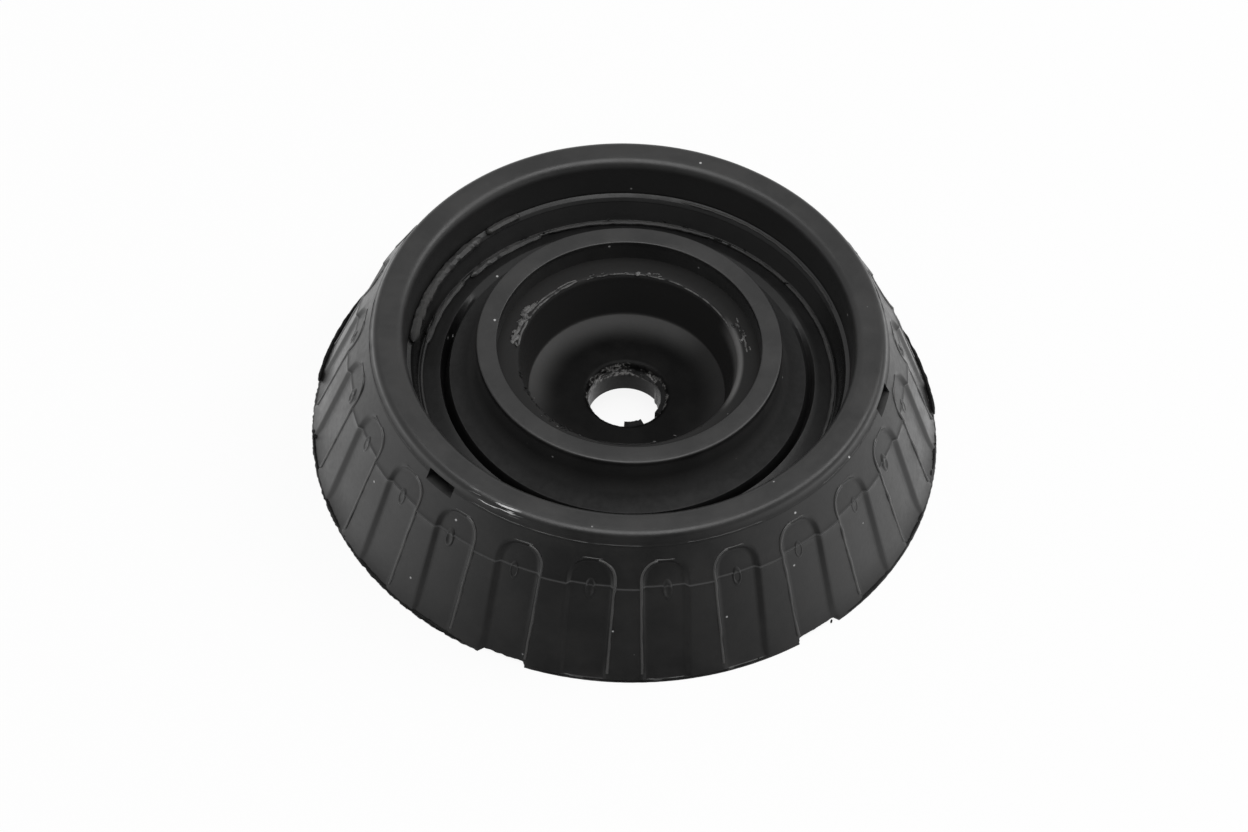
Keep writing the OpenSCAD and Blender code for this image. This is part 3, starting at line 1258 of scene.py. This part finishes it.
@dataclass
class Crumbs(Ragged):
    """Torn bits of rubber that stick to the edges."""

    def tree(self) -> NodeShape:
        """Tree that scatters lumpy bits along an arc.

        Returns:
            The tree.
        """
        floats = ("Radius", "Spread", "Height", "Start", "Sweep", "Size")
        g = NodeShape("crumb_scatter", floats, ("Count", "Seed"))
        source = g.source

        def chance(low: Any, high: Any, salt: int, kind: str = "FLOAT") -> Socket:
            """A random value for each bit, from low to high.

            Args:
                low: Least value.
                high: Greatest value.
                salt: Added to the seed.
                kind: The value's type.

            Returns:
                The value's socket.
            """
            first, output = (0, 0) if kind == "FLOAT_VECTOR" else (2, 1)
            seed = g.math("ADD", source["Seed"], float(salt))
            inputs = {first: low, first + 1: high, "Seed": seed}
            return g.add("FunctionNodeRandomValue", inputs, data_type=kind).outputs[output]

        turn = chance(source["Start"], g.math("ADD", source["Start"], source["Sweep"]), 1)
        out = g.math("ADD", source["Radius"], g.times(chance(-1.0, 1.0, 2), source["Spread"]))
        spot = g.xyz(g.times(out, g.math("SINE", turn)), g.times(out, g.math("COSINE", turn), -1.0),
                     source["Height"])
        points = g.add("GeometryNodePoints", {"Count": source["Count"], "Position": spot}).outputs[0]
        ball = g.add("GeometryNodeMeshIcoSphere", {"Radius": 1.0, "Subdivisions": 2}).outputs[0]
        scale = g.scaled(chance((0.8, 0.3, 0.2), (2.2, 0.9, 0.45), 3, "FLOAT_VECTOR"), source["Size"])
        tilt = chance((-0.5, -0.3, -0.7), (0.5, 0.3, 0.7), 4, "FLOAT_VECTOR")
        bits = g.copies(points, ball, Scale=scale, Rotation=g.vector("ADD", g.xyz(z=turn), tilt))
        lump = g.add("ShaderNodeTexNoise", {"Vector": g.spot, "Scale": 2600.0, "Detail": 2.0})
        return g.finish(g.moved(g.real(bits), Offset=g.swing(lump.outputs["Color"], source["Size"])))


@dataclass
class EdgeBeads:
    """Thin bead of flash along the side of each flute nearest the front and over its arch. Sizes in mm."""

    finish: Finish
    mount: RubberMount
    thick: float = 0.32
    waver: float = 0.45
    low: float = 1.6
    spacing: float = 0.6
    sunk: float = 0.06

    def paths(self) -> Mesh:
        """Lines along the flutes' edges.

        Returns:
            The mesh, of edges only.
        """
        m = self.mount
        count = math.ceil((m.spring_h - self.low) / self.spacing)
        edge = [(m.flute_w / 2, self.low + (m.spring_h - self.low) * k / count) for k in range(count)]
        edge += [m.outline(turn) for turn in range(0, 79, 6)]
        points, links = [], []
        for k in range(m.flutes):
            azimuth = (m.first_flute() + k * 360 / m.flutes + 180) % 360 - 180
            first = len(points)
            for x, z in edge:
                r = m.wall_r(z) - self.sunk
                turn = math.copysign(math.degrees(math.asin(x / r)), azimuth)
                points.append(polar(r, azimuth - turn, z))
            links += [(i, i + 1) for i in range(first, len(points) - 1)]
        return new_mesh("edge_beads", points, links)

    def tree(self) -> NodeShape:
        """Tree that lets the lines waver and sweeps them with a small circle whose size varies.

        Returns:
            The tree.
        """
        g = NodeShape("edge_bead", ("Thickness", "Waver", "Seed"))
        path = g.add("GeometryNodeMeshToCurve", {0: g.source["Geometry"]}).outputs[0]
        drift = g.drift(g.spot, g.source["Seed"], 260.0, 2.0)
        path = g.moved(path, Offset=g.swing(drift["Color"], g.source["Waver"]))
        return g.finish(g.swept(path, g.step(drift[0], 0.3, 0.7, 0.7, 1.0)))

    def build(self) -> Object:
        """Makes the beads of all the flutes as one piece.

        Returns:
            The piece.
        """
        material = self.finish.build()
        obj = place(self.paths(), "edge_beads")
        values = {"Thickness": self.thick * MM, "Waver": self.waver * MM, "Seed": 8.0}
        return dress(self.tree().apply(obj, material, values), material, 70)


@dataclass
class VentPips:
    """Small oval marks that the mould's vents leave in the flutes. Sizes in mm."""

    finish: Finish
    mount: RubberMount
    height: float = 18.2
    half_w: float = 0.9
    half_h: float = 1.9
    segments: int = 20
    stray: float = 1.6
    sink: float = 0.9962

    def pip(self) -> Mesh:
        """One mark on the flute at the front: a low oval rim round a hollow, closed behind.

        Returns:
            The mesh.
        """
        shell, rows, count = Shell(), [], self.segments
        for share, lift in ((0.0, -0.6), (0.9, -0.6), (1.2, -0.1), (1.0, 0.1),
                            (0.84, 0.26), (0.68, 0.24), (0.5, 0.05), (0.0, 0.02)):
            row = []
            for a in (2 * math.pi * k / count for k in range(count if share else 1)):
                z = self.height + share * self.half_h * math.sin(a)
                r = self.mount.floor_r(z) + lift
                row.append((r, math.degrees(share * self.half_w * math.cos(a) / r), z))
            rows.append(shell.row(row))
        for low, high in zip(rows, rows[1:]):
            for k in range(count):
                n = (k + 1) % count
                ring = (low[k % len(low)], low[n % len(low)], high[n % len(high)], high[k % len(high)])
                shell.faces.append(tuple(dict.fromkeys(ring)))
        return turned_out(shell.mesh("vent_pip"))

    def tree(self) -> NodeShape:
        """Tree that sets one mark into each flute, a little to a side of its middle and more or less deep.

        Returns:
            The tree.
        """
        g = NodeShape("vent_pips", ("First angle", "Stray", "Sink"), ("Count", "Seed"))
        source = g.source
        points, turn = g.around()
        stray, sink = (
            g.add("FunctionNodeRandomValue", {2: low, 3: 1.0, "Seed": seed}, data_type="FLOAT").outputs[1]
            for low, seed in ((-1.0, source["Seed"]), (source["Sink"], g.math("ADD", source["Seed"], 1.0))))
        turn = g.math("MULTIPLY_ADD", stray, source["Stray"], turn)
        scale = g.xyz(sink, sink, 1.0)
        return g.finish(g.copies(points, source["Geometry"], Rotation=g.xyz(z=turn), Scale=scale))

    def build(self) -> Object:
        """Makes the marks of all the flutes as one piece.

        Returns:
            The piece.
        """
        material, m = self.finish.build(), self.mount
        obj = self.tree().apply(place(self.pip(), "vent_pips"), material, {
            "Count": m.flutes, "First angle": math.radians(m.first_flute()),
            "Stray": math.radians(self.stray), "Sink": self.sink, "Seed": 6})
        return dress(obj, material, 60)


@dataclass
class BoreFlap:
    """Flap of rubber that stands into the bore. Sizes in mm, azimuth from the front."""

    name: str
    finish: Finish
    azimuth: float
    width: float
    outer_r: float
    inner_r: float
    low: float
    high: float
    steps: int = 14

    def build(self) -> Object:
        """Makes the flap with its ragged edge.

        Returns:
            The piece.
        """
        shell, rows, inner = Shell(), [], self.inner_r
        for r, z in ((self.outer_r, self.low), (self.outer_r, self.high), (inner + 0.1, self.high - 0.05),
                     (inner, self.high - 0.3), (inner, self.low + 0.2), (inner + 0.15, self.low)):
            row = []
            for k in range(self.steps + 1):
                x = self.width * (k / self.steps - 0.5)
                rag = 0.22 * noise.noise(Vector((x * 2.1, z * 0.6, 9.0))) if r < self.outer_r else 0.0
                row.append((r + rag, self.azimuth + math.degrees(x / (inner + 1.0)), z))
            rows.append(shell.row(row))
        for low, high in zip(rows, rows[1:] + rows[:1]):
            shell.strip(low, high)
        shell.faces += [tuple(row[0] for row in rows), tuple(row[-1] for row in rows[::-1])]
        return dress(place(turned_out(shell.mesh(self.name)), self.name), self.finish.build(), 40)


@dataclass
class Studio:
    """Camera, light and floor. Lengths in metres, angles in degrees."""

    tilt: float = 50.99
    roll: float = 3.09
    distance: float = 0.9833
    lens: float = 148.2
    slide_up: float = 0.00191
    slide_right: float = -0.00017
    base_lift: float = 0.0012
    world: float = 0.58
    ambient: float = 0.32
    floor_side: float = 6.0

    def camera(self) -> None:
        """Makes the camera at the photograph's viewing angle."""
        e, r = math.radians(self.tilt), math.radians(self.roll)
        forward = Vector((0, math.cos(e), -math.sin(e)))
        right = Vector((1, 0, 0))
        up = right.cross(forward)
        right, up = (math.cos(r) * right + math.sin(r) * up, -math.sin(r) * right + math.cos(r) * up)
        data = bpy.data.cameras.new("camera")
        data.lens, data.sensor_width = self.lens, 36.0
        data.clip_start, data.clip_end = 0.05, 20.0
        spot = -forward * self.distance + up * self.slide_up + right * self.slide_right
        spot.z += self.base_lift
        obj = place(data, "camera")
        obj.matrix_world = Matrix.Translation(spot) @ Matrix((right, up, -forward)).transposed().to_4x4()
        bpy.context.scene.camera = obj

    def sky(self) -> None:
        """Makes the white surroundings."""
        world = bpy.data.worlds.new("surroundings")
        bpy.context.scene.world = world
        world.use_nodes = True
        g = Graph(world.node_tree)
        path = g.add("ShaderNodeLightPath").outputs
        mirrored = g.math("MAXIMUM", path["Is Glossy Ray"], path["Is Transmission Ray"])
        way = g.add("ShaderNodeTexCoord").outputs["Generated"]
        level = g.math("MAXIMUM", FLAG.share(g, way), g.step(g.parts(way)[2], 0.55, 0.92))
        extra = g.math("MULTIPLY_ADD", level, self.world, -self.ambient)
        strength = g.math("MULTIPLY_ADD", mirrored, extra, self.ambient)
        strength = g.math("MULTIPLY_ADD", path["Is Camera Ray"], 1.0 - self.ambient, strength)
        ground = g.add("ShaderNodeBackground", {"Color": grey(1.0), "Strength": strength})
        g.add("ShaderNodeOutputWorld", {"Surface": ground.outputs[0]})

    def lamp(self, name: str, spot: Spot, size: float, power: float) -> None:
        """Adds a soft lamp that faces the object.

        Args:
            name: Its name.
            spot: Its place.
            size: Its width.
            power: Its power in watts.
        """
        data = bpy.data.lights.new(name, "AREA")
        data.energy, data.size = power, size
        obj = place(data, name)
        obj.location = spot
        obj.rotation_euler = (-Vector(spot)).to_track_quat("-Z", "Y").to_euler()

    def floor(self) -> None:
        """Makes the pale floor."""
        side = self.floor_side
        corners = [(-side, -side, 0), (side, -side, 0), (side, side, 0), (-side, side, 0)]
        obj = place(new_mesh("floor", corners, [(0, 1, 2, 3)]), "floor")
        obj.data.materials.append(FloorFinish("pale_floor").build())

    def build(self) -> None:
        """Sets up the whole studio."""
        self.camera()
        self.sky()
        self.floor()
        self.lamp("overhead", (0.0, -0.1, 1.5), 1.2, 13.6)
        self.lamp("right", (0.88, 0.3, 0.95), 0.7, 4.6)
        bpy.context.scene.view_settings.view_transform = "Standard"


def show(piece: Object, node: Optional[str] = None) -> None:
    """Lets a piece ride on the body and the node that it stands for.

    Args:
        piece: The piece.
        node: The node that it replaces.
    """
    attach(piece, "root")
    if node:
        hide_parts(node)
    LOG.info("%s: %d faces", piece.name, len(piece.data.polygons))


LEDGE_STRIPS = (
    Strip(-134, -92, 40.75, 21.15, 1.15, 0.2), Strip(-147, -136, 41.1, 21.15, 0.9, 0.2),
    Strip(112, 168, 41.2, 20.95, 0.3, 0.4), Strip(-152, -126, 38.4, 16.1, 0.9, 0.4),
    Strip(-124, -98, 38.7, 16.0, 0.7, 0.4), Strip(158, 206, 38.6, 16.2, 0.5, 0.5),
    Strip(70, 150, 38.95, 15.95, 0.4, 0.5),
)
RIM_STRIPS = tuple(Strip(start, end, 48.72, 26.9, thick, waver) for start, end, thick, waver in (
    (-36, 7, 0.17, 0.25), (14, 33, 0.15, 0.25), (48, 71, 0.16, 0.3),
    (-99, -52, 0.17, 0.3), (95, 190, 0.16, 0.3), (206, 252, 0.16, 0.3),
))
DARK_STRIPS = (
    Strip(-125, -97, 59.75, 0.7, 0.52), Strip(-90, -62, 59.4, 0.4, 0.36), Strip(-60, -27, 59.4, 0.4, 0.4),
    Strip(84, 96, 59.35, 0.4, 0.42), Strip(97, 122, 59.75, 0.7, 0.52), Strip(46, 78, 59.45, 0.35, 0.32),
    Strip(126, 233, 59.4, 0.4, 0.36), Strip(-15, 31, 59.5, 0.3, 0.25, 0.2),
    Strip(-14, 18, 20.74, 21.33, 0.24, 0.1),
)
TORN_STRIPS = (
    Strip(-149, -94, 20.95, 21.5, 0.24, 0.4), Strip(-126, -96, 21.9, 21.6, 0.45, 1.2),
    Strip(-150, -118, 21.5, 21.6, 0.2, 0.6), Strip(116, 152, 20.8, 21.36, 0.17, 0.1),
    Strip(152, 205, 20.9, 21.45, 0.16, 0.6), Strip(97, 116, 22.4, 21.6, 0.2, 1.0),
)
TORN_BITS = (
    Scatter(-122, -93, 22.0, 0.7, 21.65, 14, 0.62), Scatter(160, 212, 21.3, 0.7, 21.65, 12, 0.34),
    Scatter(98, 118, 22.6, 1.2, 21.65, 12, 0.32), Scatter(-60, 60, 21.6, 1.4, 21.65, 12, 0.16),
)
DARK_BITS = (
    Scatter(-86.5, -82.5, 59.1, 0.2, 0.9, 3, 0.7), Scatter(-75, -30, 59.2, 0.2, 0.6, 22, 0.4),
    Scatter(82, 96, 59.1, 0.2, 0.7, 8, 0.45), Scatter(20, 80, 59.3, 0.2, 0.5, 10, 0.25),
    Scatter(-78, -28, 20.95, 0.35, 21.45, 26, 0.34), Scatter(110, 200, 39.0, 0.4, 16.3, 16, 0.3),
    Scatter(-170, -100, 39.0, 0.4, 16.35, 18, 0.32),
)


def arch_strips(mount: RubberMount) -> tuple[Strip, ...]:
    """Short strips over the tops of the flutes' arches.

    Args:
        mount: The rubber.

    Returns:
        The strips.
    """
    half, top = 2.4, mount.flute_top
    middles = [mount.first_flute() + 360 / mount.flutes * k for k in range(mount.flutes)]
    return tuple(Strip(a - half, a + half, mount.wall_r(top) - 0.12, top, 0.24, 0.12) for a in middles)


def main() -> None:
    """Builds and dresses every piece."""
    logging.basicConfig(level=logging.INFO)
    Studio().build()
    rubber, torn = RubberFinish("black_rubber"), TornFinish("torn_rubber")
    dark = TornFinish("ragged_rubber", 0.010, 0.08)
    flash = RubberFinish("flash_rubber", 0.025, 0.04, painted_light_zones=False)
    mount = RubberMount(rubber)
    show(mount.build(), "rubber_body")
    show(RodCup(CoatedSteelFinish("coated_steel_black")).build(), "rod_cup")
    show(VentPips(rubber, mount).build())
    show(FlashStrips("parting_flash", rubber, RIM_STRIPS + arch_strips(mount)).build())
    # The beads catch real light, and their rubber is also painted paler: a painted highlight along the
    # flutes' edges.
    show(EdgeBeads(RubberFinish("bead_rubber_painted_highlight", 0.05, 0.065, painted_light_zones=False), mount).build())
    show(FlashStrips("ledge_flash", flash, LEDGE_STRIPS).build())
    show(FlashStrips("torn_flash", torn, TORN_STRIPS).build())
    show(FlashStrips("lip_flash", dark, DARK_STRIPS).build())
    show(Crumbs("dark_bits", dark, DARK_BITS).build())
    show(Crumbs("torn_bits", torn, TORN_BITS).build())
    show(BoreFlap("bore_tab", dark, 13.5, 3.7, 8.9, 6.1, 9.3, 10.3).build())
    show(BoreFlap("bore_film", dark, 92.0, 8.6, 7.9, 6.45, 4.4, 10.2).build())
    seat = frame["nodes"]["seat_ring"]
    seat.data.materials.clear()
    seat.data.materials.append(PlatedSteelFinish("phosphated_steel").build())


if __name__ == "__main__":
    main()
